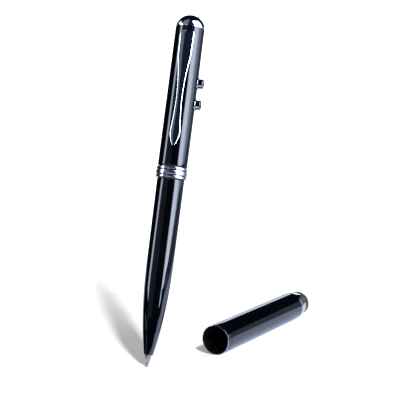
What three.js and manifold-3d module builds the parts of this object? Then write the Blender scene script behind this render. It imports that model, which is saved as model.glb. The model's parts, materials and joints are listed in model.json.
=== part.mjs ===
import * as THREE from 'three';
import { mergeVertices } from 'three/addons/utils/BufferGeometryUtils.js';
import Module from 'manifold-3d';

// A ballpoint pen with a laser pointer and a lamp in its top end, standing on its point as it writes,
// and its cap, which carries a rubber stylus tip, lying beside it. Millimetres, +Z up.
// The origin is the point of the writing ball, on the surface that the cap lies on.

const wasm = await Module();
wasm.setup();

// How the pen leans and where the cap lies.
const lean = 17;
const leanHeading = 5;
const roll = 19;
const clipTurn = -84;
const capAside = 14.4;
const capMouthAhead = 27.5;

// Clearances between pieces that sit in or on each other.
const fitGap = 0.1;
const seatGap = 0.1;
const threadGap = 0.12;

// Facets round the large and the small turned pieces.
const largeSides = 36;
const smallSides = 20;

// The refill and its ball.
const ballRadius = 0.35;
const ballShows = 0.22;
const ballGap = 0.03;
const lipWall = 0.1;
const tipShows = 4.5;
const tipNeckLength = 1.4;
const tipRootRadius = 1.35;
const tipShoulder = 7.4;
const inkWayRadius = 0.15;
const tipPlugLength = 2.4;
const refillRadius = 1.175;
const refillWall = 0.2;
const refillLength = 67;
const inkLength = 48;
const holderWall = 1;
const holderLength = 12;

// The lower barrel.
const noseRadius = 1.75;
const noseBoreLength = 6;
const taperLength = 38.5;
const taperPower = 2.3;
const gripRadius = 5.25;
const lowerRadius = 5.35;
const lowerLength = 67.6;
const lowerWall = 0.7;
const threadLength = 5.4;
const bushWall = 0.55;

// The centre band and the screwed coupler inside it.
const bandHeight = 4.2;
const bandStandsOut = 0.3;
const bandEdgeHeight = 0.9;
const bandGroove = 0.3;
const bandGrooveWidth = 0.4;
const washerThickness = 0.3;
const couplerWall = 0.75;
const couplerCrown = 1.2;

// The upper barrel, its end dome and its clip.
const upperRadius = 5.75;
const upperWall = 0.6;
const domeHeight = 5.3;
const domeWall = 0.8;
const clipDrop = 2.2;
const clipThickness = 0.8;
const clipTongueWidth = 3;
const clipTongueReach = 1;
const clipSlotGap = 0.3;
const clipLength = 45.8;
const clipShoulder = 2.65;
const clipWaist = 1.14;
const clipLeaf = 1.86;
const clipCrown = 0.35;
const clipHump = 1.4;
const clipFootGap = 0.3;

// The cells and their contacts.
const cellRadius = 3.95;
const cellHeight = 3.6;
const cellCount = 3;
const cellCapRadius = 3.2;
const springLength = 4;
const springTurns = 3.5;
const springWire = 0.22;
const springWide = 3;
const springNarrow = 1.6;
const contactThickness = 0.3;
const contactTabWidth = 2;
const contactTabReach = 1;

// The circuit board, its cradle and its two switches.
const boardThickness = 1;
const boardWidth = 8.2;
const boardPastSwitch = 3.6;
const boardPastTop = 6;
const boardSet = 0.6;
const boardGap = 0.3;
const leadRoom = 4.4;
const channelWidth = 6.8;
const channelDepth = 2;
const switchSide = 4.2;
const switchHeight = 2;
const plungerRadius = 0.9;
const plungerStands = 0.8;
const plungerSunk = 0.75;
const chipHeight = 1.2;
const chipWidth = 2;
const chipLength = 1.6;
const chipPitch = 4.2;

// The push buttons in their collars.
const buttonPitch = 8.4;
const buttonRadius = 1.9;
const buttonStands = 2.25;
const buttonFlange = 0.4;
const buttonFlangeHeight = 0.6;
const buttonBevel = 0.3;
const buttonTravel = 0.5;
const collarWall = 0.35;
const collarStands = 0.4;

// The laser module and the lamp in the top end.
const laserRadius = 2.2;
const laserWall = 0.45;
const laserAside = 2.1;
const laserLength = 13;
const laserTopDrop = 3.5;
const lensThickness = 1.2;
const laserPortRadius = 0.9;
const diodeLength = 2.6;
const diodeFlange = 1;
const diodeCan = 0.7;
const lensSeat = 0.6;
const lampRadius = 1.5;
const lampAside = 2.4;
const lampCollarHeight = 0.7;
const lampCollarWidth = 0.3;
const leadRadius = 0.25;
const leadPitch = 1.3;
const laserPadPitch = 3.9;
const leadEnd = 1.5;
const holderDiscHeight = 4.5;
const towerHeight = 2.4;
const towerWall = 0.2;

// The cap and its stylus tip.
const capMouthRadius = 6;
const capEndRadius = 5.9;
const capPastPoint = 6.8;
const capWall = 0.5;
const capLinerLength = 17;
const linerGap = 0.2;
const ferruleLength = 4.8;
const ferruleEndRadius = 5.3;
const ferruleShank = 4.5;
const ferruleCurve = 1.6;
const stylusRadius = 5.05;
const stylusSide = 2.6;
const stylusReach = 6.3;
const stylusWall = 1;
const stylusNeck = 2.2;
const stylusNeckRadius = 4.2;
const retainerThickness = 1;
const retainerBore = 2.4;

const lacquer = new THREE.MeshStandardMaterial({ color: 0x08080b, roughness: 0.12, metalness: 0.2 });
const chrome = new THREE.MeshStandardMaterial({ color: 0xc8ccd4, roughness: 0.1, metalness: 1 });
const brass = new THREE.MeshStandardMaterial({ color: 0xb08d4a, roughness: 0.3, metalness: 1 });
const steel = new THREE.MeshStandardMaterial({ color: 0xb4b6ba, roughness: 0.25, metalness: 1 });
const blackPlastic = new THREE.MeshStandardMaterial({ color: 0x111114, roughness: 0.35, metalness: 0 });
const whitePlastic = new THREE.MeshStandardMaterial({ color: 0xe8e8e4, roughness: 0.5, metalness: 0 });
const rubber = new THREE.MeshStandardMaterial({ color: 0x141417, roughness: 0.6, metalness: 0 });
const clearPlastic = new THREE.MeshStandardMaterial({ color: 0xf2f6f8, roughness: 0.05, metalness: 0 });
const boardGreen = new THREE.MeshStandardMaterial({ color: 0x1f6b3a, roughness: 0.5, metalness: 0 });
const inkBlue = new THREE.MeshStandardMaterial({ color: 0x14143c, roughness: 0.3, metalness: 0 });

const radians = THREE.MathUtils.degToRad;

// A turned piece about +Z from [radius, height] points that run up its outside and, if it is hollow, back
// down its inside to where they started.
function turned(points, sides = largeSides) {
  const outline = points.map(([radius, height]) => new THREE.Vector2(radius, height));
  return new THREE.LatheGeometry(outline, sides).rotateX(Math.PI / 2);
}

// A plain tube or, with no bore, a plain rod.
function tube(outer, bore, bottom, top, sides = smallSides) {
  if (bore === 0) return turned([[0, bottom], [outer, bottom], [outer, top], [0, top]], sides);
  return turned([[bore, bottom], [outer, bottom], [outer, top], [bore, top], [bore, bottom]], sides);
}

// A box between two places along X and two heights, as wide to both sides of the axis.
function block(x0, x1, width, z0, z1) {
  const box = new THREE.BoxGeometry(x1 - x0, width, z1 - z0);
  return box.translate((x0 + x1) / 2, 0, (z0 + z1) / 2);
}

// Lays a piece that was made along +Z down along +X.
function alongX(geometry) {
  return geometry.rotateY(Math.PI / 2);
}

// A closed skin over rings of points, each ring with as many points as the next.
function lofted(rings) {
  const count = rings[0].length;
  const index = [];
  for (let r = 0; r + 1 < rings.length; r++) {
    for (let k = 0; k < count; k++) {
      const a = r * count + k;
      const b = r * count + ((k + 1) % count);
      index.push(a, b, b + count, a, b + count, a + count);
    }
  }
  const last = (rings.length - 1) * count;
  for (let k = 1; k + 1 < count; k++) {
    index.push(0, k + 1, k);
    index.push(last, last + k, last + k + 1);
  }
  const geometry = new THREE.BufferGeometry();
  geometry.setAttribute('position', new THREE.Float32BufferAttribute(rings.flat(2), 3));
  geometry.setIndex(index);
  return geometry;
}

function toSolid(geometry) {
  const bare = geometry.clone();
  bare.deleteAttribute('normal');
  bare.deleteAttribute('uv');
  const merged = mergeVertices(bare, 1e-4);
  return new wasm.Manifold(new wasm.Mesh({
    numProp: 3,
    vertProperties: new Float32Array(merged.attributes.position.array),
    triVerts: new Uint32Array(merged.index.array),
  }));
}

function toGeometry(solid) {
  const mesh = solid.getMesh();
  const geometry = new THREE.BufferGeometry();
  geometry.setAttribute('position', new THREE.BufferAttribute(new Float32Array(mesh.vertProperties), 3));
  geometry.setIndex(new THREE.BufferAttribute(new Uint32Array(mesh.triVerts), 1));
  return geometry;
}

function cutFrom(base, ...tools) {
  return toGeometry(tools.reduce((left, tool) => left.subtract(toSolid(tool)), toSolid(base)));
}

function joined(first, ...others) {
  return toGeometry(others.reduce((sum, other) => sum.add(toSolid(other)), toSolid(first)));
}

function piece(name, geometry, material) {
  const mesh = new THREE.Mesh(geometry, material);
  mesh.name = name;
  return mesh;
}

function moved(made, x, y, z) {
  made.position.set(x, y, z);
  return made;
}

// Stations along the pen's axis, from the point of the ball upwards.
const lowerTop = tipShows + lowerLength;
const bandBottom = lowerTop + washerThickness + 2 * seatGap;
const bandTop = bandBottom + bandHeight;
const upperBottom = bandTop + washerThickness + 2 * seatGap;
const upperBore = upperRadius - upperWall;

const couplerBottom = lowerTop - threadLength - seatGap;
const couplerTop = upperBottom + threadLength + seatGap;
const lowerBushRadius = lowerRadius - lowerWall - fitGap;
const lowerSpigotRadius = lowerBushRadius - bushWall - threadGap;
const upperBushRadius = upperBore - fitGap;
const upperSpigotRadius = upperBushRadius - bushWall - threadGap;
const collarRadius = upperBushRadius - fitGap;
const holderRadius = lowerSpigotRadius - couplerWall - fitGap;

const cellsBottom = couplerTop + springLength + 2 * seatGap;
const cellsTop = cellsBottom + cellCount * (cellHeight + seatGap);
const contactTop = cellsTop + contactThickness;
const boardBottom = contactTop + boardGap;
const lightButtonAt = boardBottom + boardPastSwitch;
const laserButtonAt = lightButtonAt + buttonPitch;
const boardTop = laserButtonAt + boardPastTop;
const laserFoot = boardTop + leadRoom;
const laserTop = laserFoot + laserLength;
const switchTop = boardSet + seatGap + switchHeight;
const plungerTop = switchTop + plungerStands;
const plungerFoot = switchTop - plungerSunk;
const buttonFoot = plungerTop + seatGap;

// The upper barrel is as long as what it holds.
const domeSeat = laserTop + laserTopDrop - domeHeight;
const upperTop = domeSeat - seatGap;
const clipAt = upperTop - clipDrop;
const slotHalf = clipThickness / 2 + clipSlotGap;
const discTop = clipAt - slotHalf;
const discBottom = discTop - holderDiscHeight;
const towerTop = discTop + towerHeight;
const domeRise = (radius) => domeHeight * Math.sqrt(1 - (radius / upperRadius) ** 2);
const lampTop = domeSeat + domeRise(lampAside);

// Radius of the lower barrel's outside at a station: a curve off the grip that runs down to the nose.
function barrelRadius(station) {
  const taperTop = tipShows + taperLength;
  if (station >= taperTop) {
    return gripRadius + ((lowerRadius - gripRadius) * (station - taperTop)) / (lowerTop - taperTop);
  }
  const fall = ((taperTop - station) / taperLength) ** taperPower;
  return gripRadius - (gripRadius - noseRadius) * fall;
}

// The cap covers the pen from its centre band to its point, which reaches through the ferrule into the
// hollow of the stylus tip.
const capTubeLength = lowerTop - capPastPoint;
const shankStart = capTubeLength - ferruleShank;
const ferruleBore = barrelRadius(lowerTop - shankStart) + 2 * linerGap;

// Radius of the cap tube's bore at a depth from its mouth.
function capBore(depth) {
  return capMouthRadius - capWall + ((capEndRadius - capMouthRadius) * depth) / capTubeLength;
}

function lowerBarrel() {
  const outside = [];
  const steps = 8;
  const noseRound = 0.15;
  outside.push([noseRadius - noseRound, tipShows]);
  for (let i = 0; i <= steps; i++) {
    const station = tipShows + noseRound + ((taperLength - noseRound) * i) / steps;
    outside.push([barrelRadius(station), station]);
  }
  outside.push([lowerRadius, lowerTop - noseRound], [lowerRadius - noseRound, lowerTop]);
  const bore = lowerRadius - lowerWall;
  const noseBore = tipRootRadius + fitGap;
  const noseTop = tipShows + noseBoreLength;
  const flare = noseTop + 2 * noseBoreLength;
  const grip = tipShows + taperLength;
  const inside = [
    [bore, lowerTop],
    [bore, lowerTop - threadLength - 2 * seatGap],
    [gripRadius - 2 * lowerWall, lowerTop - threadLength - 2 * seatGap],
    [gripRadius - 2 * lowerWall, grip],
    [barrelRadius(flare) - 2 * lowerWall, flare],
    [noseBore, noseTop],
    [noseBore, tipShows],
  ];
  return turned([...outside, ...inside, outside[0]]);
}

// The cone that carries the ball: a lip round the ball, a seat behind it and an ink way. Its root fills the
// barrel's nose, and a plug behind it closes the refill's tube.
function refillTip() {
  const seat = ballRadius + ballGap;
  const lipAngle = Math.asin((ballShows - ballRadius) / seat);
  const wayAngle = Math.acos(inkWayRadius / seat);
  const steps = 4;
  const socket = [];
  for (let i = 0; i <= steps; i++) {
    const a = wayAngle + ((lipAngle - wayAngle) * i) / steps;
    socket.push([seat * Math.cos(a), ballRadius + seat * Math.sin(a)]);
  }
  const lip = socket[steps][0];
  const plugRadius = refillRadius - refillWall - fitGap;
  return turned([
    [lip + lipWall, ballShows],
    [lip + 2 * lipWall, tipNeckLength],
    [tipRootRadius, tipShows],
    [tipRootRadius, tipShoulder],
    [plugRadius, tipShoulder],
    [plugRadius, tipShoulder + tipPlugLength],
    [inkWayRadius, tipShoulder + tipPlugLength],
    ...socket,
    [lip + lipWall, ballShows],
  ], smallSides);
}

function refillPieces() {
  const bore = refillRadius - refillWall;
  const tubeBottom = tipShoulder + seatGap;
  const inkBottom = tubeBottom + tipPlugLength;
  const pocket = refillLength + seatGap;
  const holderTop = couplerTop - couplerCrown - seatGap;
  const holderBottom = refillLength - holderLength / 2;
  return [
    piece('refill_tip', refillTip(), steel),
    piece('refill_tube', tube(refillRadius, bore, tubeBottom, refillLength), brass),
    piece('ink', tube(bore - fitGap, 0, inkBottom, inkBottom + inkLength, 16), inkBlue),
    piece('refill_holder', turned([
      [0, pocket],
      [refillRadius + fitGap, pocket],
      [refillRadius + fitGap, holderBottom],
      [refillRadius + fitGap + holderWall / 2, holderBottom],
      [holderRadius, couplerBottom],
      [holderRadius, holderTop],
      [0, holderTop],
    ], smallSides), whitePlastic),
  ];
}

// The coupler: a spigot into each barrel, a collar that carries the band, and a crown under the spring.
function coupler() {
  const bore = holderRadius + fitGap;
  return turned([
    [bore, couplerBottom],
    [lowerSpigotRadius, couplerBottom],
    [lowerSpigotRadius, bandBottom],
    [collarRadius, bandBottom],
    [collarRadius, bandTop],
    [upperSpigotRadius, bandTop],
    [upperSpigotRadius, couplerTop],
    [0, couplerTop],
    [0, couplerTop - couplerCrown],
    [bore, couplerTop - couplerCrown],
    [bore, couplerBottom],
  ], smallSides);
}

// The chrome band: a narrow bead at each edge and a wide one between, parted by grooves.
function centreBand() {
  const outer = upperRadius + bandStandsOut;
  const inner = collarRadius + fitGap;
  const root = outer - bandGroove;
  const bead = (bottom, height, points) => {
    const out = [];
    for (let i = 0; i <= points; i++) {
      const t = i / points;
      out.push([root + bandGroove * Math.sqrt(1 - (2 * t - 1) ** 4), bottom + height * t]);
    }
    return out;
  };
  const middle = bandHeight - 2 * bandEdgeHeight - 2 * bandGrooveWidth;
  return turned([
    [inner, bandBottom],
    ...bead(bandBottom, bandEdgeHeight, 3),
    ...bead(bandBottom + bandEdgeHeight + bandGrooveWidth, middle, 4),
    ...bead(bandTop - bandEdgeHeight, bandEdgeHeight, 3),
    [inner, bandTop],
    [inner, bandBottom],
  ]);
}

// A brass bush pressed into the end of a barrel, which the coupler screws into.
function threadBush(radius, bottom) {
  return tube(radius, radius - bushWall, bottom, bottom + threadLength);
}

function washer(spigotRadius, bottom) {
  return tube(lowerRadius - fitGap, spigotRadius + fitGap, bottom, bottom + washerThickness);
}

// A coil of round wire that narrows as it climbs.
function coilSpring() {
  const stepsPerTurn = 10;
  const wireSides = 5;
  const steps = Math.round(springTurns * stepsPerTurn);
  const rise = springLength - 2 * springWire;
  const rings = [];
  for (let i = 0; i <= steps; i++) {
    const t = i / steps;
    const turn = 2 * Math.PI * springTurns * t;
    const radius = springWide + (springNarrow - springWide) * t;
    const ring = [];
    for (let k = 0; k < wireSides; k++) {
      const a = (2 * Math.PI * k) / wireSides;
      const out = radius + springWire * Math.sin(a);
      const up = couplerTop + seatGap + springWire + rise * t + springWire * Math.cos(a);
      ring.push([out * Math.cos(turn), out * Math.sin(turn), up]);
    }
    rings.push(ring);
  }
  return lofted(rings);
}

// A button cell: a can with a narrower cap above it.
function cell() {
  const rim = 0.3;
  const step = 0.6;
  return turned([
    [0, 0],
    [cellRadius - rim, 0],
    [cellRadius, rim],
    [cellRadius, cellHeight - step],
    [cellCapRadius, cellHeight - step / 2],
    [cellCapRadius, cellHeight],
    [0, cellHeight],
  ], smallSides);
}

function batterySleeve() {
  return tube(upperBore - fitGap, cellRadius + fitGap, cellsBottom, cellsTop);
}

// The plate above the cells has a tab that stands up behind the board.
function contactPlate() {
  const plate = tube(cellCapRadius, 0, cellsTop, contactTop);
  const front = boardSet - boardThickness - fitGap;
  const tabTop = boardBottom + contactTabReach;
  return joined(plate, block(front - contactThickness, front, contactTabWidth, cellsTop, tabTop));
}

// The cradle that backs the board: a D of the barrel's bore with a channel for what is soldered behind.
function boardCradle() {
  const radius = upperBore - fitGap;
  const face = boardSet - boardThickness - fitGap;
  const half = Math.acos(face / radius);
  const outline = new THREE.Shape();
  outline.absarc(0, 0, radius, half, 2 * Math.PI - half, false);
  outline.lineTo(face, -channelWidth / 2);
  outline.lineTo(face - channelDepth, -channelWidth / 2);
  outline.lineTo(face - channelDepth, channelWidth / 2);
  outline.lineTo(face, channelWidth / 2);
  const depth = boardTop - boardBottom;
  const body = new THREE.ExtrudeGeometry(outline, { depth, bevelEnabled: false, curveSegments: 20 });
  return body.translate(0, 0, boardBottom);
}

function circuitBoard() {
  return block(boardSet - boardThickness, boardSet, boardWidth, boardBottom, boardTop);
}

// What is soldered to the board's back, from its lower end upwards.
function boardChip(place) {
  const face = boardSet - boardThickness - seatGap;
  const bottom = (boardBottom + boardTop - chipLength) / 2 + (place - 1) * chipPitch;
  return block(face - chipHeight, face, chipWidth, bottom, bottom + chipLength);
}

// A tact switch lies with its plunger hole along +X, from the board's face outwards.
function switchBody() {
  const body = block(boardSet + seatGap, switchTop, switchSide, -switchSide / 2, switchSide / 2);
  const floor = plungerFoot - buttonTravel - seatGap;
  return cutFrom(body, alongX(tube(plungerRadius + fitGap, 0, floor, plungerTop, 16)));
}

function plunger() {
  return alongX(tube(plungerRadius, 0, plungerFoot, plungerTop, 16));
}

// A push button: a flange that keeps it in the barrel and a bevelled knob that stands out of its collar.
function button() {
  const face = upperRadius + buttonStands;
  return alongX(turned([
    [0, buttonFoot],
    [buttonRadius + buttonFlange, buttonFoot],
    [buttonRadius + buttonFlange, buttonFoot + buttonFlangeHeight],
    [buttonRadius, buttonFoot + buttonFlangeHeight],
    [buttonRadius, face - buttonBevel],
    [buttonRadius - buttonBevel, face],
    [0, face],
  ], smallSides));
}

function buttonCollar() {
  const bore = buttonRadius + fitGap;
  const bottom = buttonFoot + buttonFlangeHeight + seatGap;
  const top = upperRadius + collarStands;
  return alongX(tube(bore + collarWall, bore, bottom, top));
}

// The clip's line: how far down it a point is, how far out from its foot, and half the width there.
// It leaves the slot over a hump, narrows to a waist and ends in a leaf with its toe turned up.
function clipRail() {
  const foot = upperRadius + clipFootGap + clipThickness / 2;
  const at = (share, out, half) => new THREE.Vector3(foot + out, half, clipAt - clipLength * share);
  return new THREE.CatmullRomCurve3([
    at(0, clipHump / 2, 0.95 * clipShoulder),
    at(0.02, 0.9 * clipHump, clipShoulder),
    at(0.07, clipHump, clipShoulder),
    at(0.15, clipHump, 0.96 * clipShoulder),
    at(0.24, 0.97 * clipHump, 0.92 * clipShoulder),
    at(0.31, 0.93 * clipHump, 0.76 * clipShoulder),
    at(0.38, 0.87 * clipHump, 0.61 * clipShoulder),
    at(0.45, 0.79 * clipHump, 0.52 * clipShoulder),
    at(0.54, 0.66 * clipHump, clipWaist),
    at(0.63, 0.47 * clipHump, clipWaist),
    at(0.71, 0.31 * clipHump, 1.12 * clipWaist),
    at(0.79, 0.14 * clipHump, 0.83 * clipLeaf),
    at(0.86, 0.02 * clipHump, 0.98 * clipLeaf),
    at(0.9, 0, clipLeaf),
    at(0.94, 0.12 * clipHump, 0.8 * clipLeaf),
    at(0.97, 0.24 * clipHump, 0.55 * clipLeaf),
    at(1, 0.4 * clipHump, 0.15 * clipLeaf),
  ]);
}

// The blade has a ridge along its middle, and a tongue at its top that goes through the barrel's slot.
function clip() {
  const rail = clipRail();
  const edge = clipThickness / 2;
  const steps = 32;
  const rings = [];
  for (let i = 0; i <= steps; i++) {
    const at = rail.getPoint(i / steps);
    const along = rail.getTangent(i / steps).setY(0).normalize();
    const half = at.y;
    const side = edge - Math.min(clipCrown, half);
    const section = [[-half, -edge], [half, -edge], [half, side], [0, edge], [-half, side]];
    rings.push(section.map(([across, out]) => [at.x - along.z * out, across, at.z + along.x * out]));
  }
  const tongueIn = upperBore - clipTongueReach;
  const tongueOut = rail.getPoint(0).x + edge / 2;
  const tongue = block(tongueIn, tongueOut, clipTongueWidth, clipAt - edge, clipAt + edge);
  return joined(lofted(rings), tongue);
}

function upperBarrel() {
  const edge = 0.2;
  const shell = turned([
    [upperBore, upperBottom],
    [upperRadius - edge, upperBottom],
    [upperRadius, upperBottom + edge],
    [upperRadius, upperTop],
    [upperBore, upperTop],
    [upperBore, upperBottom],
  ]);
  const holeRadius = buttonRadius + 2 * fitGap + collarWall;
  const holes = [laserButtonAt, lightButtonAt].map((station) =>
    alongX(tube(holeRadius, 0, 0, 2 * upperRadius)).translate(0, 0, station));
  const slotWidth = clipTongueWidth + clipSlotGap;
  const slot = block(0, 2 * upperRadius, slotWidth, clipAt - slotHalf, clipAt + slotHalf);
  slot.rotateZ(radians(clipTurn));
  return cutFrom(shell, ...holes, slot);
}

function endDome() {
  const steps = 7;
  const outside = [];
  const inside = [];
  const innerRadius = upperRadius - domeWall;
  const innerHeight = domeHeight - domeWall;
  for (let i = 0; i <= steps; i++) {
    const a = (Math.PI / 2) * (i / steps);
    outside.push([upperRadius * Math.cos(a), domeSeat + domeHeight * Math.sin(a)]);
    inside.push([innerRadius * Math.cos(a), domeSeat + innerHeight * Math.sin(a)]);
  }
  outside[steps][0] = 0;
  inside[steps][0] = 0;
  const spigotRadius = upperBore - fitGap;
  const spigotBottom = clipAt + slotHalf;
  const shell = turned([
    [innerRadius - domeWall / 2, spigotBottom],
    [spigotRadius, spigotBottom],
    [spigotRadius, domeSeat],
    ...outside,
    ...inside.reverse().slice(0, -1),
    [innerRadius - domeWall / 2, domeSeat],
    [innerRadius - domeWall / 2, spigotBottom],
  ]);
  const above = domeSeat + 2 * domeHeight;
  const laserPort = tube(laserPortRadius, 0, domeSeat, above).translate(-laserAside, 0, 0);
  const lampPort = tube(lampRadius + fitGap, 0, domeSeat, above).translate(lampAside, 0, 0);
  return cutFrom(shell, laserPort, lampPort);
}

// The disc that holds the laser's housing and, on a short tower, the lamp.
function lampHolder() {
  const disc = tube(upperBore - fitGap, 0, discBottom, discTop);
  const towerRadius = lampRadius + lampCollarWidth + towerWall;
  const tower = tube(towerRadius, 0, discBottom, towerTop).translate(lampAside, 0, 0);
  const below = discBottom - holderDiscHeight;
  const above = towerTop + towerHeight;
  const laserHole = tube(laserRadius + fitGap, 0, below, above).translate(-laserAside, 0, 0);
  const leadHole = tube(leadPitch / 2 + 2 * leadRadius, 0, below, above, 16).translate(lampAside, 0, 0);
  return cutFrom(joined(disc, tower), laserHole, leadHole);
}

// The laser: a brass housing with the diode in its foot and a lens under its lip.
function laserPieces() {
  const bottom = laserFoot;
  const bore = laserRadius - laserWall;
  const inner = bore - fitGap;
  const lensTop = laserTop - lensSeat - seatGap;
  const housing = turned([
    [bore, bottom],
    [laserRadius, bottom],
    [laserRadius, laserTop],
    [bore / 2, laserTop],
    [bore / 2, laserTop - lensSeat],
    [bore, laserTop - lensSeat],
    [bore, bottom],
  ], smallSides);
  const diode = turned([
    [0, bottom],
    [inner, bottom],
    [inner, bottom + diodeFlange],
    [inner * diodeCan, bottom + diodeFlange],
    [inner * diodeCan, bottom + diodeLength],
    [0, bottom + diodeLength],
  ], smallSides);
  const lens = turned([
    [0, lensTop - lensThickness],
    [inner, lensTop - lensThickness / 2],
    [inner, lensTop],
    [0, lensTop],
  ], smallSides);
  return [
    piece('laser_housing', housing, brass),
    piece('laser_diode', diode, steel),
    piece('laser_lens', lens, clearPlastic),
  ].map((made) => moved(made, -laserAside, 0, 0));
}

// The lamp: a clear body with a collar at its foot and a round top.
function lamp() {
  const bottom = towerTop + seatGap;
  const collar = lampRadius + lampCollarWidth;
  const round = [];
  const steps = 5;
  for (let i = 0; i <= steps; i++) {
    const a = (Math.PI / 2) * (i / steps);
    round.push([lampRadius * Math.cos(a), lampTop - lampRadius + lampRadius * Math.sin(a)]);
  }
  round[steps][0] = 0;
  return turned([[0, bottom], [collar, bottom], [collar, bottom + lampCollarHeight],
    [lampRadius, bottom + lampCollarHeight], ...round], smallSides);
}

// A round wire through the given points.
function wire(points, radius) {
  const path = new THREE.CatmullRomCurve3(points.map((point) => new THREE.Vector3(...point)));
  const sides = 6;
  const steps = 10;
  const rings = [];
  for (let i = 0; i <= steps; i++) {
    const at = path.getPoint(i / steps);
    const along = path.getTangent(i / steps);
    const across = new THREE.Vector3(0, 1, 0);
    const out = along.clone().cross(across).normalize();
    const ring = [];
    for (let k = 0; k < sides; k++) {
      const a = (2 * Math.PI * k) / sides;
      const point = at.clone().addScaledVector(across, radius * Math.cos(a));
      ring.push(point.addScaledVector(out, radius * Math.sin(a)).toArray());
    }
    rings.push(ring);
  }
  return lofted(rings);
}

// A lead from the foot of a lamp, over the top of the board and down its face.
function lead(side, aside, top, pitchAtBoard) {
  const onFace = boardSet + seatGap + leadRadius;
  return wire([
    [aside, (side * leadPitch) / 2, top],
    [aside, (side * leadPitch) / 2, top - leadEnd],
    [onFace, (side * pitchAtBoard) / 2, boardTop + leadEnd / 2],
    [onFace, (side * pitchAtBoard) / 2, boardTop - leadEnd],
  ], leadRadius);
}

function capTube() {
  const mouthRound = 0.12;
  return turned([
    [capMouthRadius - capWall, 0],
    [capMouthRadius - mouthRound, 0],
    [capMouthRadius, mouthRound],
    [capEndRadius, capTubeLength],
    [capEndRadius - capWall, capTubeLength],
    [capMouthRadius - capWall, 0],
  ]);
}

// The liner's inside is the nose of the pen with a little room round it.
function capLiner() {
  const end = shankStart - seatGap;
  const start = end - capLinerLength;
  const steps = 4;
  const inside = [];
  for (let i = 0; i <= steps; i++) {
    const depth = start + ((end - start) * i) / steps;
    inside.push([barrelRadius(lowerTop - depth) + linerGap, depth]);
  }
  return turned([
    [capBore(start) - fitGap, start],
    [capBore(end) - fitGap, end],
    ...inside.reverse(),
    [capBore(start) - fitGap, start],
  ], smallSides);
}

function capFerrule() {
  const start = capTubeLength + seatGap;
  const end = capTubeLength + ferruleLength;
  const steps = 5;
  const outside = [];
  for (let i = 0; i <= steps; i++) {
    const t = i / steps;
    const narrowing = (capEndRadius - ferruleEndRadius) * t ** ferruleCurve;
    outside.push([capEndRadius - narrowing, start + (end - start) * t]);
  }
  const pocket = stylusNeckRadius + fitGap;
  const pocketFloor = end - stylusNeck - retainerThickness - 2 * seatGap;
  const shank = capBore(capTubeLength) - fitGap;
  return turned([
    [ferruleBore, shankStart],
    [shank, shankStart],
    [shank, start],
    ...outside,
    [pocket, end],
    [pocket, pocketFloor],
    [ferruleBore, pocketFloor],
    [ferruleBore, shankStart],
  ]);
}

// The stylus tip: a hollow rubber dome with a straight side, on a neck that sits in the ferrule's pocket.
function stylusTip() {
  const seat = capTubeLength + ferruleLength + seatGap;
  const crown = capTubeLength + ferruleLength + stylusReach;
  const domeFoot = seat + stylusSide;
  const rise = crown - domeFoot;
  const hollow = stylusRadius - stylusWall;
  const neckBore = stylusNeckRadius - stylusWall;
  const steps = 6;
  const outside = [];
  const inside = [];
  for (let i = 0; i <= steps; i++) {
    const a = (Math.PI / 2) * (i / steps);
    outside.push([stylusRadius * Math.cos(a), domeFoot + rise * Math.sin(a)]);
    inside.push([hollow * Math.cos(a), domeFoot + (rise - stylusWall) * Math.sin(a)]);
  }
  outside[steps][0] = 0;
  inside[steps][0] = 0;
  return turned([
    [neckBore, seat - stylusNeck],
    [stylusNeckRadius, seat - stylusNeck],
    [stylusNeckRadius, seat],
    [stylusRadius, seat],
    ...outside,
    ...inside.reverse(),
    [hollow, seat + stylusWall],
    [neckBore, seat + stylusWall],
    [neckBore, seat - stylusNeck],
  ], 28);
}

function tipRetainer() {
  const top = capTubeLength + ferruleLength - stylusNeck - seatGap / 2;
  return tube(stylusNeckRadius, retainerBore, top - retainerThickness, top);
}

const pen = new THREE.Group();

const lowerSection = new THREE.Group();
lowerSection.add(
  piece('lower_barrel', lowerBarrel(), lacquer),
  piece('lower_thread_bush', threadBush(lowerBushRadius, lowerTop - threadLength), brass),
);

const centreSection = new THREE.Group();
centreSection.add(
  piece('lower_washer', washer(lowerSpigotRadius, lowerTop + seatGap), blackPlastic),
  piece('coupler', coupler(), brass),
  piece('centre_band', centreBand(), chrome),
  piece('upper_washer', washer(upperSpigotRadius, bandTop + seatGap), blackPlastic),
  piece('battery_spring', coilSpring(), steel),
  ...refillPieces(),
);

const upperSection = new THREE.Group();
upperSection.add(
  piece('upper_barrel', upperBarrel(), lacquer),
  piece('upper_thread_bush', threadBush(upperBushRadius, upperBottom), brass),
  piece('end_dome', endDome(), chrome),
  piece('battery_sleeve', batterySleeve(), whitePlastic),
  piece('contact_plate', contactPlate(), brass),
  piece('board_cradle', boardCradle(), blackPlastic),
  piece('circuit_board', circuitBoard(), boardGreen),
  piece('lamp_resistor', boardChip(0), blackPlastic),
  piece('laser_resistor', boardChip(1), blackPlastic),
  piece('laser_driver_chip', boardChip(2), blackPlastic),
  piece('lamp_holder', lampHolder(), blackPlastic),
  ...laserPieces(),
  moved(piece('lamp', lamp(), clearPlastic), lampAside, 0, 0),
);
for (const [end, side] of [['plus', 1], ['minus', -1]]) {
  upperSection.add(
    piece(`lamp_lead_${end}`, lead(side, lampAside, towerTop, leadPitch), steel),
    piece(`laser_lead_${end}`, lead(side, -laserAside, laserFoot - seatGap, laserPadPitch), steel),
  );
}
for (let i = 0; i < cellCount; i++) {
  const made = piece(`cell_${i + 1}`, cell(), steel);
  upperSection.add(moved(made, 0, 0, cellsBottom + i * (cellHeight + seatGap)));
}

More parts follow.
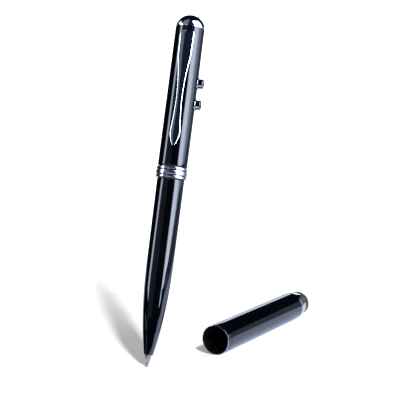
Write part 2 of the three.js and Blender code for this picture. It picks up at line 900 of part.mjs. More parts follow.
for (const [name, station] of [['laser', laserButtonAt], ['light', lightButtonAt]]) {
  const stack = new THREE.Group();
  stack.position.z = station;
  stack.add(
    piece(`${name}_switch`, switchBody(), blackPlastic),
    piece(`${name}_plunger`, plunger(), whitePlastic),
    piece(`${name}_button`, button(), lacquer),
    piece(`${name}_collar`, buttonCollar(), chrome),
  );
  upperSection.add(stack);
}

const clipSide = new THREE.Group();
clipSide.rotation.z = radians(clipTurn);
clipSide.add(piece('clip', clip(), chrome));
upperSection.add(clipSide);

pen.add(lowerSection, centreSection, upperSection);

// The ball's poles lie across the pen, on the line that it rolls about.
const ball = piece('writing_ball', new THREE.SphereGeometry(ballRadius, 16, 10).rotateZ(Math.PI / 2), steel);

// The pen stands on its ball, leaning back. The ball isn't rolled with it, so its poles stay level.
const leaning = new THREE.Group();
leaning.rotation.x = radians(-lean);
pen.rotation.z = radians(roll - leanHeading);
pen.position.z = -ballRadius;
leaning.add(pen, ball);
const standing = new THREE.Group();
standing.rotation.z = radians(leanHeading);
standing.position.z = ballRadius;
standing.add(leaning);

// The cap lies on its side, along +Y from its mouth to its stylus tip, on the line down its tapered tube.
const cap = new THREE.Group();
cap.add(
  piece('cap_tube', capTube(), lacquer),
  piece('cap_liner', capLiner(), blackPlastic),
  piece('cap_ferrule', capFerrule(), chrome),
  piece('stylus_tip', stylusTip(), rubber),
  piece('tip_retainer', tipRetainer(), brass),
);
const capDip = Math.atan((capMouthRadius - capEndRadius) / capTubeLength);
cap.rotation.x = -Math.PI / 2 - capDip;
cap.position.set(capAside, capMouthAhead, capMouthRadius * Math.cos(capDip));

const set = new THREE.Group();
set.add(standing, cap);
export default set;
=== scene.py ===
import json
import math

import bmesh
import bpy
from mathutils import Matrix, Vector


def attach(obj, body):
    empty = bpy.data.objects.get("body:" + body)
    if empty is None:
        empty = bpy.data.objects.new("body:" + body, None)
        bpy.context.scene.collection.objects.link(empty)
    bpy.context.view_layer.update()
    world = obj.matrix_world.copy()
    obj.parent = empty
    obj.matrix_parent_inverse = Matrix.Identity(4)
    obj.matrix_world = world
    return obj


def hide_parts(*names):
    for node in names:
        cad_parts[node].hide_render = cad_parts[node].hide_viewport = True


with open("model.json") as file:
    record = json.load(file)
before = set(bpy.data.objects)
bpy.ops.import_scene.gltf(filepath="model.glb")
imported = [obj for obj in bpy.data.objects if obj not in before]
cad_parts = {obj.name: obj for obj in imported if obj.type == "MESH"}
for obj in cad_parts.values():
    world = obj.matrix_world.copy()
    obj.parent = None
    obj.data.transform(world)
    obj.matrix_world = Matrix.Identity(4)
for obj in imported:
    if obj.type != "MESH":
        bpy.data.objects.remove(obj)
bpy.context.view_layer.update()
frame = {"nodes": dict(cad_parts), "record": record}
nodes = frame["nodes"]
print("frame loaded:", len(nodes), "nodes")

# where the pen stands and the cap lies, as in the CAD model: pieces are modelled upright, in
# millimetres, and these places lean them, turn them and bring them to metres
pose = {"lean": 17, "leanHeading": 5, "roll": 19, "clipTurn": -84, "ball": 0.35,
        "capAt": (14.4, 27.5, 6), "capMouth": 6, "capEnd": 5.9, "capLength": 65.3}


def turn(axis, degrees):
    return Matrix.Rotation(math.radians(degrees), 4, axis)


def shift(x, y, z):
    return Matrix.Translation((x, y, z))


mm = Matrix.Scale(0.001, 4)
penPlace = (mm @ shift(0, 0, pose["ball"]) @ turn("Z", pose["leanHeading"])
            @ turn("X", -pose["lean"]) @ shift(0, 0, -pose["ball"])
            @ turn("Z", pose["roll"] - pose["leanHeading"]))
clipPlace = penPlace @ turn("Z", pose["clipTurn"])
capDip = math.atan((pose["capMouth"] - pose["capEnd"]) / pose["capLength"])
capPlace = (mm @ shift(pose["capAt"][0], pose["capAt"][1], pose["capAt"][2] * math.cos(capDip))
            @ turn("X", -90 - math.degrees(capDip)))

# the camera stands where the photograph was taken from
shot = {"at": (0.2754, -0.4338, 0.1472), "towards": (-0.4962, 0.8535, -0.1594), "lens": 125.34,
        "sensor": 36, "aside": 0.00115, "nearest": 0.01, "farthest": 50}

bpy.ops.object.select_all(action="DESELECT")
bpy.ops.object.camera_add(location=shot["at"])
camera = bpy.context.object
camera.rotation_euler = Vector(shot["towards"]).to_track_quat("-Z", "Y").to_euler()
camera.data.lens = shot["lens"]
camera.data.sensor_width = shot["sensor"]
camera.data.shift_x = shot["aside"]
camera.data.clip_start = shot["nearest"]
camera.data.clip_end = shot["farthest"]
bpy.context.scene.camera = camera
print("camera set")


# sets a socket, or links a value to it
def feed(tree, socket, value):
    if isinstance(value, Value):
        tree.links.new(value.socket, socket)
    else:
        socket.default_value = value


# a socket that takes part in sums: each operator adds a Math node
class Value:
    def __init__(self, tree, socket):
        self.tree = tree
        self.socket = socket

    def sum(self, operation, first, second):
        node = self.tree.nodes.new("ShaderNodeMath")
        node.operation = operation
        feed(self.tree, node.inputs[0], first)
        feed(self.tree, node.inputs[1], second)
        return Value(self.tree, node.outputs[0])

    def __add__(self, other):
        return self.sum("ADD", self, other)

    def __radd__(self, other):
        return self.sum("ADD", other, self)

    def __sub__(self, other):
        return self.sum("SUBTRACT", self, other)

    def __rsub__(self, other):
        return self.sum("SUBTRACT", other, self)

    def __mul__(self, other):
        return self.sum("MULTIPLY", self, other)

    def __rmul__(self, other):
        return self.sum("MULTIPLY", other, self)


# a new material, or the world, that is being put together round its shader node
class Finish:
    def __init__(self, name, world=None):
        self.material = world or bpy.data.materials.new(name)
        self.material.use_nodes = True
        self.tree = self.material.node_tree
        self.shader = self.tree.nodes["Background" if world else "Principled BSDF"]

    def node(self, kind, settings=None, inputs=None, output=0):
        made = self.tree.nodes.new(kind)
        for setting, value in (settings or {}).items():
            if setting == "stops":
                self.stops(made.color_ramp, value)
            else:
                setattr(made, setting, value)
        for socket, value in (inputs or {}).items():
            feed(self.tree, made.inputs[socket], value)
        return Value(self.tree, made.outputs[output])

    def stops(self, ramp, stops):
        while len(ramp.elements) < len(stops):
            ramp.elements.new(1)
        for element, (position, shade) in zip(ramp.elements, stops):
            element.position = position
            element.color = (shade, shade, shade, 1)

    # sets the shader's sockets and hands back what was made
    def surface(self, sockets):
        for socket, value in sockets.items():
            feed(self.tree, self.shader.inputs[socket], value)
        return self.material

    # object coordinates turned to a place's own axes, in millimetres, stretched by scale
    def along(self, place, scale=(1, 1, 1)):
        spot = self.node("ShaderNodeTexCoord", output="Object")
        back = place.inverted()
        turned = self.node("ShaderNodeMapping", inputs={
            "Vector": spot, "Location": back.to_translation(), "Rotation": back.to_euler(),
            "Scale": back.to_scale()})
        return self.node("ShaderNodeMapping", inputs={"Vector": turned, "Scale": scale})

    def noise(self, where, scale, detail=2, rough=0.5):
        return self.node("ShaderNodeTexNoise", inputs={
            "Vector": where, "Scale": scale, "Detail": detail, "Roughness": rough})

    def ramp(self, value, stops):
        return self.node("ShaderNodeValToRGB", {"stops": stops}, {"Fac": value})

    # a colour between two, each numbers or a value; 0, 6, 7 and 2 are a Mix node's sockets for
    # colours
    def blend(self, share, dark, light):
        dark, light = (part if isinstance(part, Value) else (*part, 1) for part in (dark, light))
        return self.node("ShaderNodeMix", {"data_type": "RGBA"}, {0: share, 6: dark, 7: light}, 2)

    def bump(self, height, distance):
        return self.node("ShaderNodeBump", inputs={"Height": height, "Distance": distance})

    # 1 for the rays of one kind, 0 for the others
    def rays(self, kind):
        return self.node("ShaderNodeLightPath", output="Is " + kind + " Ray")


# gloss black lacquer: deep, nearly mirror smooth, with a faint orange peel, haze from handling and
# hairlines
lacquerLook = {"deep": (0.0006, 0.0008, 0.0018), "worn": (0.0018, 0.002, 0.0036), "gloss": 0.03,
               "ior": 1.52, "hazeScale": 0.12, "hazeStops": ((0.42, 0), (0.72, 1)),
               "hazeRough": 0.035, "hairScale": 2.4, "hairStretch": (6, 6, 0.12),
               "hairStops": ((0.66, 0), (0.7, 1)), "hairRough": 0.1, "hairDepth": 0.2,
               "peelScale": 0.8, "fineScale": 9, "fineDepth": 0.15, "peelHeight": 0.0000016}


def lacquerFinish(name, place, look):
    finish = Finish(name)
    even = finish.along(place)
    drawn = finish.along(place, look["hairStretch"])
    haze = finish.ramp(finish.noise(even, look["hazeScale"], 4, 0.6), look["hazeStops"])
    hairs = finish.ramp(finish.noise(drawn, look["hairScale"], 1), look["hairStops"])
    peel = finish.noise(even, look["peelScale"])
    fine = finish.noise(even, look["fineScale"])
    uneven = peel + fine * look["fineDepth"] - hairs * look["hairDepth"]
    return finish.surface({
        "Base Color": finish.blend(haze, look["deep"], look["worn"]),
        "Roughness": look["gloss"] + haze * look["hazeRough"] + hairs * look["hairRough"],
        "Normal": finish.bump(uneven, look["peelHeight"]),
        "IOR": look["ior"]})


# polished chrome plate, with finger haze and a very slight unevenness, and a duller nickel
chromeLook = {"bright": (0.8, 0.82, 0.86), "dull": (0.7, 0.72, 0.77), "gloss": 0.035,
              "hazeScale": 0.25, "hazeStops": ((0.4, 0), (0.75, 1)), "hazeRough": 0.04,
              "rubScale": 1.1, "rubStretch": (1, 1, 8), "rubStops": ((0.55, 0), (0.8, 1)),
              "rubRough": 0.03, "rippleScale": 0.7, "rippleHeight": 0.0000012}
nickelLook = {**chromeLook, "bright": (0.43, 0.42, 0.4), "dull": (0.35, 0.34, 0.33), "gloss": 0.07}


def chromeFinish(name, place, look):
    finish = Finish(name)
    even = finish.along(place)
    haze = finish.ramp(finish.noise(even, look["hazeScale"], 4, 0.6), look["hazeStops"])
    rubbed = finish.ramp(finish.noise(finish.along(place, look["rubStretch"]), look["rubScale"]),
                         look["rubStops"])
    return finish.surface({
        "Base Color": finish.blend(haze, look["bright"], look["dull"]),
        "Roughness": look["gloss"] + haze * look["hazeRough"] + rubbed * look["rubRough"],
        "Normal": finish.bump(finish.noise(even, look["rippleScale"]), look["rippleHeight"]),
        "Metallic": 1})


# bare turned metal: fine rings round the axis from the lathe tool
steelLook = {"bright": (0.36, 0.32, 0.26), "dull": (0.24, 0.21, 0.18), "gloss": 0.12,
             "ringStretch": (0.05, 0.05, 14), "ringRough": 0.12, "ringHeight": 0.000006,
             "stainScale": 0.5, "stainStops": ((0.35, 0), (0.75, 1)), "stainRough": 0.1}
brassLook = {**steelLook, "bright": (0.72, 0.53, 0.24), "dull": (0.5, 0.35, 0.16), "gloss": 0.2}


def turnedFinish(name, place, look):
    finish = Finish(name)
    rings = finish.noise(finish.along(place, look["ringStretch"]), 1, 3, 0.7)
    stain = finish.ramp(finish.noise(finish.along(place), look["stainScale"], 4, 0.6),
                        look["stainStops"])
    return finish.surface({
        "Base Color": finish.blend(stain, look["bright"], look["dull"]),
        "Roughness": look["gloss"] + rings * look["ringRough"] + stain * look["stainRough"],
        "Normal": finish.bump(rings, look["ringHeight"]),
        "Metallic": 1})


# moulded plastic and rubber: a fine sparked grain with a little flow marking; the cap's inside is
# the same in a darker black with almost no shine, black plastic and painted shade deep in the cap
# together
blackPlasticLook = {"deep": (0.012, 0.012, 0.014), "pale": (0.022, 0.022, 0.025), "gloss": 0.3,
                    "shine": 0.5, "grainScale": 9, "grainRough": 0.15, "grainHeight": 0.000012,
                    "flowScale": 0.35, "flowStretch": (1, 1, 0.3),
                    "flowStops": ((0.35, 0), (0.7, 1)), "flowRough": 0.05}
whitePlasticLook = {**blackPlasticLook, "deep": (0.72, 0.72, 0.69), "pale": (0.8, 0.8, 0.77),
                    "gloss": 0.35, "grainScale": 8, "grainHeight": 0.00001}
rubberLook = {**blackPlasticLook, "deep": (0.018, 0.019, 0.022), "pale": (0.034, 0.036, 0.041),
              "gloss": 0.42, "grainScale": 5.5, "grainHeight": 0.000022}
# the inside of the cap: darker and duller than the black plastic, which paints the shade in it
shadedInsideLook = {**blackPlasticLook, "deep": (0.0015, 0.0015, 0.002), "pale": (0.003, 0.003, 0.0035),
            "gloss": 0.75, "shine": 0.08, "grainScale": 4, "grainHeight": 0.00001}


def mouldedFinish(name, place, look):
    finish = Finish(name)
    grain = finish.noise(finish.along(place), look["grainScale"], 3, 0.6)
    flow = finish.ramp(finish.noise(finish.along(place, look["flowStretch"]), look["flowScale"]),
                       look["flowStops"])
    return finish.surface({
        "Base Color": finish.blend(flow, look["deep"], look["pale"]),
        "Roughness": look["gloss"] + grain * look["grainRough"] + flow * look["flowRough"],
        "Normal": finish.bump(grain, look["grainHeight"]),
        "Specular IOR Level": look["shine"]})


# clear moulded resin, as a lamp's body and a small lens are made of
clearLook = {"clear": (0.97, 0.98, 1), "hazy": (0.9, 0.92, 0.93), "gloss": 0.03, "ior": 1.5,
             "hazeScale": 0.6, "hazeStops": ((0.4, 0), (0.8, 1)), "hazeRough": 0.06,
             "flawScale": 2.5, "flawHeight": 0.000002}


def clearFinish(name, place, look):
    finish = Finish(name)
    even = finish.along(place)
    haze = finish.ramp(finish.noise(even, look["hazeScale"], 3), look["hazeStops"])
    return finish.surface({
        "Base Color": finish.blend(haze, look["clear"], look["hazy"]),
        "Roughness": look["gloss"] + haze * look["hazeRough"],
        "Normal": finish.bump(finish.noise(even, look["flawScale"]), look["flawHeight"]),
        "IOR": look["ior"], "Transmission Weight": 1})


# circuit board: green mask over copper runs that step along and across, with tinned pads
boardLook = {"mask": (0.01, 0.11, 0.035), "run": (0.02, 0.2, 0.07), "tin": (0.62, 0.62, 0.6),
             "runScale": 0.9, "runStep": 0.37, "runGap": 0.07, "runLong": 0.8, "runHigh": 0.3,
             "padScale": 0.55, "padScatter": 0.6, "padStops": ((0.16, 1), (0.19, 0)),
             "gloss": 0.3, "weaveScale": 6, "weaveRough": 0.15, "runDepth": 0.6,
             "weaveDepth": 0.1, "height": 0.00003}


def boardFinish(name, place, look):
    finish = Finish(name)
    even = finish.along(place)
    runs = finish.node("ShaderNodeTexBrick", {"offset": look["runStep"]}, {
        "Vector": even, "Scale": look["runScale"], "Mortar Size": look["runGap"],
        "Brick Width": look["runLong"], "Row Height": look["runHigh"]}, "Fac")
    pads = finish.node("ShaderNodeTexVoronoi", inputs={
        "Vector": even, "Scale": look["padScale"], "Randomness": look["padScatter"]})
    pad = finish.ramp(pads, look["padStops"])
    weave = finish.noise(even, look["weaveScale"])
    relief = runs * look["runDepth"] + pad + weave * look["weaveDepth"]
    return finish.surface({
        "Base Color": finish.blend(pad, finish.blend(runs, look["mask"], look["run"]), look["tin"]),
        "Roughness": look["gloss"] + weave * look["weaveRough"],
        "Normal": finish.bump(relief, look["height"]),
        "Metallic": pad})


# ballpoint paste: dark blue, wet, a little thicker in places
inkLook = {"thick": (0.004, 0.004, 0.035), "thin": (0.01, 0.01, 0.08), "gloss": 0.12,
           "streakScale": 1.6, "streakStretch": (1, 1, 0.25), "streakRough": 0.15,
           "streakHeight": 0.00001}


def inkFinish(name, place, look):
    finish = Finish(name)
    streaks = finish.noise(finish.along(place, look["streakStretch"]), look["streakScale"], 3)
    return finish.surface({
        "Base Color": finish.blend(streaks, look["thick"], look["thin"]),
        "Roughness": look["gloss"] + streaks * look["streakRough"],
        "Normal": finish.bump(streaks, look["streakHeight"])})


penFinishes = {
    "black_lacquer": lacquerFinish("lacquerPen", penPlace, lacquerLook),
    "chrome": chromeFinish("chromePen", penPlace, chromeLook),
    "brass": turnedFinish("brassPen", penPlace, brassLook),
    "steel": turnedFinish("steelPen", penPlace, steelLook),
    "black_plastic": mouldedFinish("blackPlasticPen", penPlace, blackPlasticLook),
    "white_plastic": mouldedFinish("whitePlasticPen", penPlace, whitePlasticLook),
    "rubber": mouldedFinish("rubberPen", penPlace, rubberLook),
    "clear_plastic": clearFinish("clearPen", penPlace, clearLook),
    "board": boardFinish("boardPen", penPlace, boardLook),
    "ink": inkFinish("inkPen", penPlace, inkLook),
}
capFinishes = {
    "black_lacquer": lacquerFinish("lacquerCap", capPlace, lacquerLook),
    "chrome": chromeFinish("chromeCap", capPlace, nickelLook),
    "brass": turnedFinish("brassCap", capPlace, brassLook),
    "black_plastic": mouldedFinish("blackPlasticCap", capPlace, blackPlasticLook),
    "rubber": mouldedFinish("rubberCap", capPlace, rubberLook),
}
shadedInsideFinish = mouldedFinish("shadedInsideBlack", capPlace, shadedInsideLook)
print("materials made")

# every CAD node takes its slot's finish, also where nothing replaces it
bodies = frame["record"]["behaviour"]["bodies"]
slotOf = {entry["node"]: entry["material_slot"] for entry in frame["record"]["subparts"]}
bodyOf = {node: body for body, members in bodies.items() for node in members}
for name, node in nodes.items():
    finishes = capFinishes if name in bodies["cap"] else penFinishes
    for slot in node.material_slots:
        slot.material = finishes[slotOf[name]]


def extrude(x, y, z):
    bpy.ops.mesh.extrude_region_move(TRANSFORM_OT_translate={"value": (x, y, z)})


# a new object in edit mode that is a line of points, each drawn from the one before
def drawLine(name, spots):
    bpy.ops.object.select_all(action="DESELECT")
    bpy.ops.mesh.primitive_plane_add(size=1)
    piece = bpy.context.object
    piece.name = piece.data.name = name
    bpy.ops.object.mode_set(mode="EDIT")
    bpy.ops.mesh.select_mode(type="VERT")
    bpy.ops.mesh.select_all(action="SELECT")
    bpy.ops.mesh.merge(type="CENTER")
    bpy.ops.transform.translate(value=spots[0])
    for before, after in zip(spots, spots[1:]):
        extrude(*(b - a for a, b in zip(before, after)))
    return piece


mergeWithin = 0.0002


# a turned piece: its profile is drawn point by point as (radius, height), then spun about Z
def turnedPiece(name, profile, sides):
    piece = drawLine(name, [(radius, 0, height) for radius, height in profile])
    bpy.ops.mesh.select_all(action="SELECT")
    bpy.ops.mesh.spin(steps=sides, angle=2 * math.pi, center=(0, 0, 0), axis=(0, 0, 1))
    bpy.ops.mesh.select_all(action="SELECT")
    bpy.ops.mesh.remove_doubles(threshold=mergeWithin)
    bpy.ops.mesh.normals_make_consistent(inside=False)
    bpy.ops.object.mode_set(mode="OBJECT")
    return piece


# evenly spaced numbers that follow first and end with last
def spread(first, last, steps):
    return [first + (last - first) * i / steps for i in range(1, steps + 1)]


# points on an ellipse, from one angle to another in degrees
def arc(centre, radii, start, end, steps):
    angles = [math.radians(angle) for angle in [start] + spread(start, end, steps)]
    return [(centre[0] + radii[0] * math.cos(a), centre[1] + radii[1] * math.sin(a))
            for a in angles]


# leaves only those points selected, of the piece in edit mode, that pass the test
def pick(piece, test):
    drawn = bmesh.from_edit_mesh(piece.data)
    for spot in drawn.verts:
        spot.select_set(test(spot.co))
    drawn.select_flush_mode()
    bmesh.update_edit_mesh(piece.data)


def only(piece):
    bpy.ops.object.select_all(action="DESELECT")
    piece.select_set(True)
    bpy.context.view_layer.objects.active = piece


def rounded(piece, width, segments=3, angle=40):
    only(piece)
    bevel = piece.modifiers.new("Bevel", "BEVEL")
    bevel.width = width
    bevel.segments = segments
    bevel.limit_method = "ANGLE"
    bevel.angle_limit = math.radians(angle)
    bpy.ops.object.modifier_apply(modifier="Bevel")


# a plain ring with rounded edges
def ringPiece(name, bore, outer, bottom, top, edge, sides):
    section = [(bore, bottom), (outer, bottom), (outer, top), (bore, top), (bore, bottom)]
    ring = turnedPiece(name, section, sides)
    rounded(ring, edge)
    return ring


def cylinderTool(radius, length, place):
    bpy.ops.object.select_all(action="DESELECT")
    bpy.ops.mesh.primitive_cylinder_add(vertices=64, radius=radius, depth=length)
    tool = bpy.context.object
    tool.matrix_world = place
    bpy.ops.object.transform_apply()
    return tool


def boxTool(size, place):
    bpy.ops.object.select_all(action="DESELECT")
    bpy.ops.mesh.primitive_cube_add(size=1)
    tool = bpy.context.object
    tool.matrix_world = place @ Matrix.Diagonal((*size, 1))
    bpy.ops.object.transform_apply()
    return tool


# cuts a tool out of a piece, or joins the two, and removes the tool
def combine(piece, tool, operation="DIFFERENCE"):
    only(piece)
    change = piece.modifiers.new("Combine", "BOOLEAN")
    change.operation = operation
    change.solver = "EXACT"
    change.object = tool
    bpy.ops.object.modifier_apply(modifier="Combine")
    bpy.data.objects.remove(tool)


# puts a piece in its place, gives it its finish, hangs it on the body that it rides on, and hides
# the node that it stands for
def settle(piece, place, node, finishes, smooth=35):
    only(piece)
    piece.matrix_world = place @ piece.matrix_world
    bpy.ops.object.transform_apply()
    bpy.ops.object.shade_smooth_by_angle(angle=math.radians(smooth))
    piece.data.materials.clear()
    piece.data.materials.append(finishes[slotOf[node]])
    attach(piece, bodyOf[node])
    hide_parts(node)


# gives another finish to the faces of a turned piece that pass the test, which is told how far out
# and how high a face's centre is, and how squarely the face looks away from the axis
def paint(piece, place, finish, test):
    piece.data.materials.append(finish)
    painted = len(piece.data.materials) - 1
    back = place.inverted()
    turnBack = place.to_3x3().normalized().transposed()
    for face in piece.data.polygons:
        centre = back @ face.center
        outward = Vector((centre.x, centre.y, 0)).normalized()
        looks = (turnBack @ face.normal).dot(outward)
        if test(math.hypot(centre.x, centre.y), centre.z, looks):
            face.material_index = painted


# the inner walls of a hollow piece look towards its axis
def innerWall(out, height, looks):
    return looks < -0.2


# the lower barrel: a long bullet from the nose to the band
lower = {"nose": 4.5, "noseRadius": 1.75, "noseRound": 0.15, "bore": 1.45, "boreDeep": 6,
         "waist": 22.5, "grip": 43, "gripRadius": 5.25, "power": 2.3, "top": 72.1,
         "topRadius": 5.35, "topRound": 0.2, "socketDeep": 5.6, "wall": 0.7, "noseSteps": 40,
         "gripSteps": 7}


def lowerRadiusAt(station):
    radius, grip = lower["gripRadius"], lower["grip"]
    if station > grip:
        share = (station - grip) / (lower["top"] - grip)
        return radius + (lower["topRadius"] - radius) * share
    share = (grip - station) / (grip - lower["nose"])
    return radius - (radius - lower["noseRadius"]) * share ** lower["power"]


def makeLowerBarrel():
    nose, grip, top, bore, wall = (lower[k] for k in ("nose", "grip", "top", "bore", "wall"))
    rim, edge = lower["noseRound"], lower["topRound"]
    stations = spread(nose + rim, grip, lower["noseSteps"])
    stations += spread(grip, top - edge, lower["gripSteps"])
    inner, shallow = lower["topRadius"] - wall, lower["gripRadius"] - 2 * wall
    ledge, waist = top - lower["socketDeep"], lower["waist"]
    profile = [(bore, nose)]
    profile += arc((lower["noseRadius"] - rim, nose + rim), (rim, rim), -90, 0, 5)
    profile += [(lowerRadiusAt(station), station) for station in stations]
    profile += arc((lower["topRadius"] - edge, top - edge), (edge, edge), 15, 90, 4)
    profile += [(inner, top), (inner, ledge), (shallow, ledge), (shallow, grip),
                (lowerRadiusAt(waist) - 2 * wall, waist), (bore, nose + lower["boreDeep"]),
                (bore, nose)]
    piece = turnedPiece("lowerBarrelShell", profile, sides=128)
    settle(piece, penPlace, "lower_barrel", penFinishes)
    paint(piece, penPlace, penFinishes["brass"], innerWall)


makeLowerBarrel()

# the steel point of the refill: the lip round the ball, the cone with its groove, its root in the
# barrel's nose and the plug
point = {"seat": 0.38, "wayAngle": 66.7, "lipAngle": -20, "lipWall": 0.1, "lipFlat": 0.7,
         "lipRise": 0.04, "neck": 1.4, "neckRadius": 0.57, "neckStep": (0.06, 0.05),
         "groove": 4.02, "grooveSteps": ((0, 0), (-0.05, 0.03), (-0.04, 0.13), (0.04, 0.16)),
         "root": 4.5, "rootRadius": 1.35, "shoulder": 7.4, "plug": 0.875, "plugTop": 9.8,
         "inkWay": 0.15}


def makePoint():
    seat, neck, neckRadius = point["seat"], point["neck"], point["neckRadius"]
    root, rootRadius = point["root"], point["rootRadius"]
    socket = arc((0, pose["ball"]), (seat, seat), point["wayAngle"], point["lipAngle"], 8)
    lip, rim = socket[-1]
    slope = (rootRadius - neckRadius) / (root - neck)
    grooveRadius = neckRadius + slope * (point["groove"] - neck)
    profile = [(lip, rim), (lip + point["lipWall"] * point["lipFlat"], rim),
               (lip + point["lipWall"], rim + point["lipRise"]),
               (neckRadius - point["neckStep"][0], neck - point["neckStep"][1]),
               (neckRadius, neck)]
    profile += [(grooveRadius + out, point["groove"] + up) for out, up in point["grooveSteps"]]
    profile += [(rootRadius, root), (rootRadius, point["shoulder"]),
                (point["plug"], point["shoulder"]), (point["plug"], point["plugTop"]),
                (point["inkWay"], point["plugTop"])]
    piece = turnedPiece("pointCone", profile + socket, sides=64)
    settle(piece, penPlace, "refill_tip", penFinishes)


makePoint()
print("lower barrel and point made")

# the band between the barrels: three flat beads with rounded edges, parted by grooves in a dark
# metal that paints the shade in them
band = {"bottom": 72.6, "top": 76.8, "radius": 6.05, "root": 5.75, "bore": 5.05, "edge": 0.9,
        "groove": 0.4, "flat": 16, "beadSteps": 20, "paintIn": 0.05, "paintOut": 0.03}
bandLook = {**chromeLook, "bright": (0.5, 0.505, 0.515), "dull": (0.45, 0.455, 0.47), "gloss": 0.2}
# the grooves' dark metal is painted shade between the beads
grooveShadeLook = {**chromeLook, "bright": (0.09, 0.09, 0.095), "dull": (0.07, 0.07, 0.075),
              "gloss": 0.12}


def bead(bottom, top):
    points = []
    for i in range(band["beadSteps"] + 1):
        t = math.sin(math.pi * (i / band["beadSteps"] - 0.5))
        swell = (1 - abs(t) ** band["flat"]) ** 0.5
        points.append((band["root"] + (band["radius"] - band["root"]) * swell,
                       (bottom + top) / 2 + (top - bottom) / 2 * t))
    return points


def makeBand():
    bottom, top, bore, root = (band[k] for k in ("bottom", "top", "bore", "root"))
    low, high = bottom + band["edge"], top - band["edge"]
    profile = [(bore, bottom)]
    profile += bead(bottom, low)
    profile += bead(low + band["groove"], high - band["groove"])
    profile += bead(high, top)
    profile += [(bore, top), (bore, bottom)]
    piece = turnedPiece("centreBandRings", profile, sides=128)
    settle(piece, penPlace, "centre_band", {"chrome": chromeFinish("bandPen", penPlace, bandLook)})

    def inGroove(out, height, looks):
        return root - band["paintIn"] < out < root + band["paintOut"] and low < height < high

    # the grooves take the dark metal: painted shade
    paint(piece, penPlace, chromeFinish("grooveShadePen", penPlace, grooveShadeLook), inGroove)


makeBand()

# the black washers on both sides of the band: each with its node, its bottom and its bore
washers = {"thick": 0.3, "outer": 5.25, "round": 0.06,
           "lowerSealRing": ("lower_washer", 72.2, 4.08),
           "upperSealRing": ("upper_washer", 76.9, 4.48)}


def makeWasher(name):
    node, bottom, bore = washers[name]
    piece = ringPiece(name, bore, washers["outer"], bottom, bottom + washers["thick"],
                      washers["round"], sides=96)
    settle(piece, penPlace, node, penFinishes)


for name in ("lowerSealRing", "upperSealRing"):
    makeWasher(name)

# the screwed coupler: brass, with fine threads on both spigots
screw = {"bore": 3.03, "bottom": 66.6, "lowRadius": 3.98, "collar": 4.95, "highRadius": 4.38,
         "top": 82.8, "crown": 1.2, "pitch": 0.75, "depth": 0.28, "thread": (0.12, 0.33, 0.48),
         "lead": 0.35, "runIn": 0.4, "runOut": 0.5}


def threads(bottom, top, radius):
    root, (rise, crest, fall) = radius - screw["depth"], screw["thread"]
    points = []
    for i in range(int((top - bottom) / screw["pitch"])):
        base = bottom + i * screw["pitch"]
        points += [(root, base), (root, base + rise), (radius, base + crest),
                   (radius, base + fall)]
    return points


def makeCoupler():
    bore, bottom, top, lead = (screw[k] for k in ("bore", "bottom", "top", "lead"))
    runIn, runOut, crown = screw["runIn"], screw["runOut"], top - screw["crown"]
    lowRadius, highRadius, collar = screw["lowRadius"], screw["highRadius"], screw["collar"]
    low, high = band["bottom"], band["top"]
    profile = [(bore, bottom), (lowRadius - lead, bottom)]
    profile += threads(bottom + runIn, low - runOut, lowRadius)
    profile += [(lowRadius - screw["depth"], low - runIn), (lowRadius - screw["depth"], low),
                (collar, low), (collar, high), (highRadius - screw["depth"], high)]
    profile += threads(high + runOut, top - runOut, highRadius)
    profile += [(highRadius - lead, top), (0, top), (0, crown), (bore, crown), (bore, bottom)]
    piece = turnedPiece("couplerScrew", profile, sides=72)
    settle(piece, penPlace, "coupler", penFinishes, smooth=25)


makeCoupler()
print("centre band, washers and coupler made")

# the upper barrel: a plain tube with a slot for the clip and two holes for the buttons
upper = {"bottom": 77.3, "top": 132.2, "radius": 5.75, "bore": 5.15, "edge": 0.2, "lip": 0.05,
         "ring": 1.5, "hole": 2.45, "laser": 110.7, "light": 102.3, "slotAt": 130.0,
         "slotHigh": 1.4, "slotWide": 3.3, "toolAt": 6, "toolLong": 8, "slotLong": 6}


def makeUpperBarrel():
    bottom, top, radius, bore = (upper[k] for k in ("bottom", "top", "radius", "bore"))
    edge, lip = upper["edge"], upper["lip"]
    rings = spread(bottom + edge, top, int((top - bottom) / upper["ring"]))[:-1]
    profile = [(bore, bottom)]
    profile += arc((radius - edge, bottom + edge), (edge, edge), -90, 0, 4)
    profile += [(radius, station) for station in rings]
    profile += [(radius, top - lip), (radius - lip, top), (bore, top), (bore, bottom)]
    piece = turnedPiece("upperBarrelShell", profile, sides=128)
    for station in (upper["laser"], upper["light"]):
        hole = shift(upper["toolAt"], 0, station) @ turn("Y", 90)
        combine(piece, cylinderTool(upper["hole"], upper["toolLong"], hole))
    slot = turn("Z", pose["clipTurn"]) @ shift(upper["toolAt"], 0, upper["slotAt"])
    combine(piece, boxTool((upper["slotLong"], upper["slotWide"], upper["slotHigh"]), slot))
    settle(piece, penPlace, "upper_barrel", penFinishes, smooth=30)
    paint(piece, penPlace, penFinishes["brass"], innerWall)


makeUpperBarrel()

# the chrome dome on top, with the laser's port and the lamp's, each a radius and a place aside
dome = {"skirt": 130.7, "seat": 132.3, "radius": 5.75, "height": 5.3, "wall": 0.8, "spigot": 5.05,
        "edge": 0.06, "edgeAngle": 0.8, "laserPort": (0.9, -2.1), "lampPort": (1.6, 2.4),
        "toolLong": 9, "toolUp": 5}


def makeDome():
    skirt, seat, radius = dome["skirt"], dome["seat"], dome["radius"]
    wall, height, spigot = dome["wall"], dome["height"], dome["spigot"]
    inner = radius - wall
    deep = inner - wall / 2
    profile = [(deep, skirt), (spigot, skirt), (spigot, seat), (radius - dome["edge"], seat)]
    profile += arc((0, seat), (radius, height), dome["edgeAngle"], 90, 30)
    profile += arc((0, seat), (inner, height - wall), 90, 0, 14)
    profile += [(deep, seat), (deep, skirt)]
    piece = turnedPiece("topDome", profile, sides=128)
    for port, aside in (dome["laserPort"], dome["lampPort"]):
        combine(piece, cylinderTool(port, dome["toolLong"], shift(aside, 0, seat + dome["toolUp"])))
    settle(piece, penPlace, "end_dome", penFinishes, smooth=30)


makeDome()

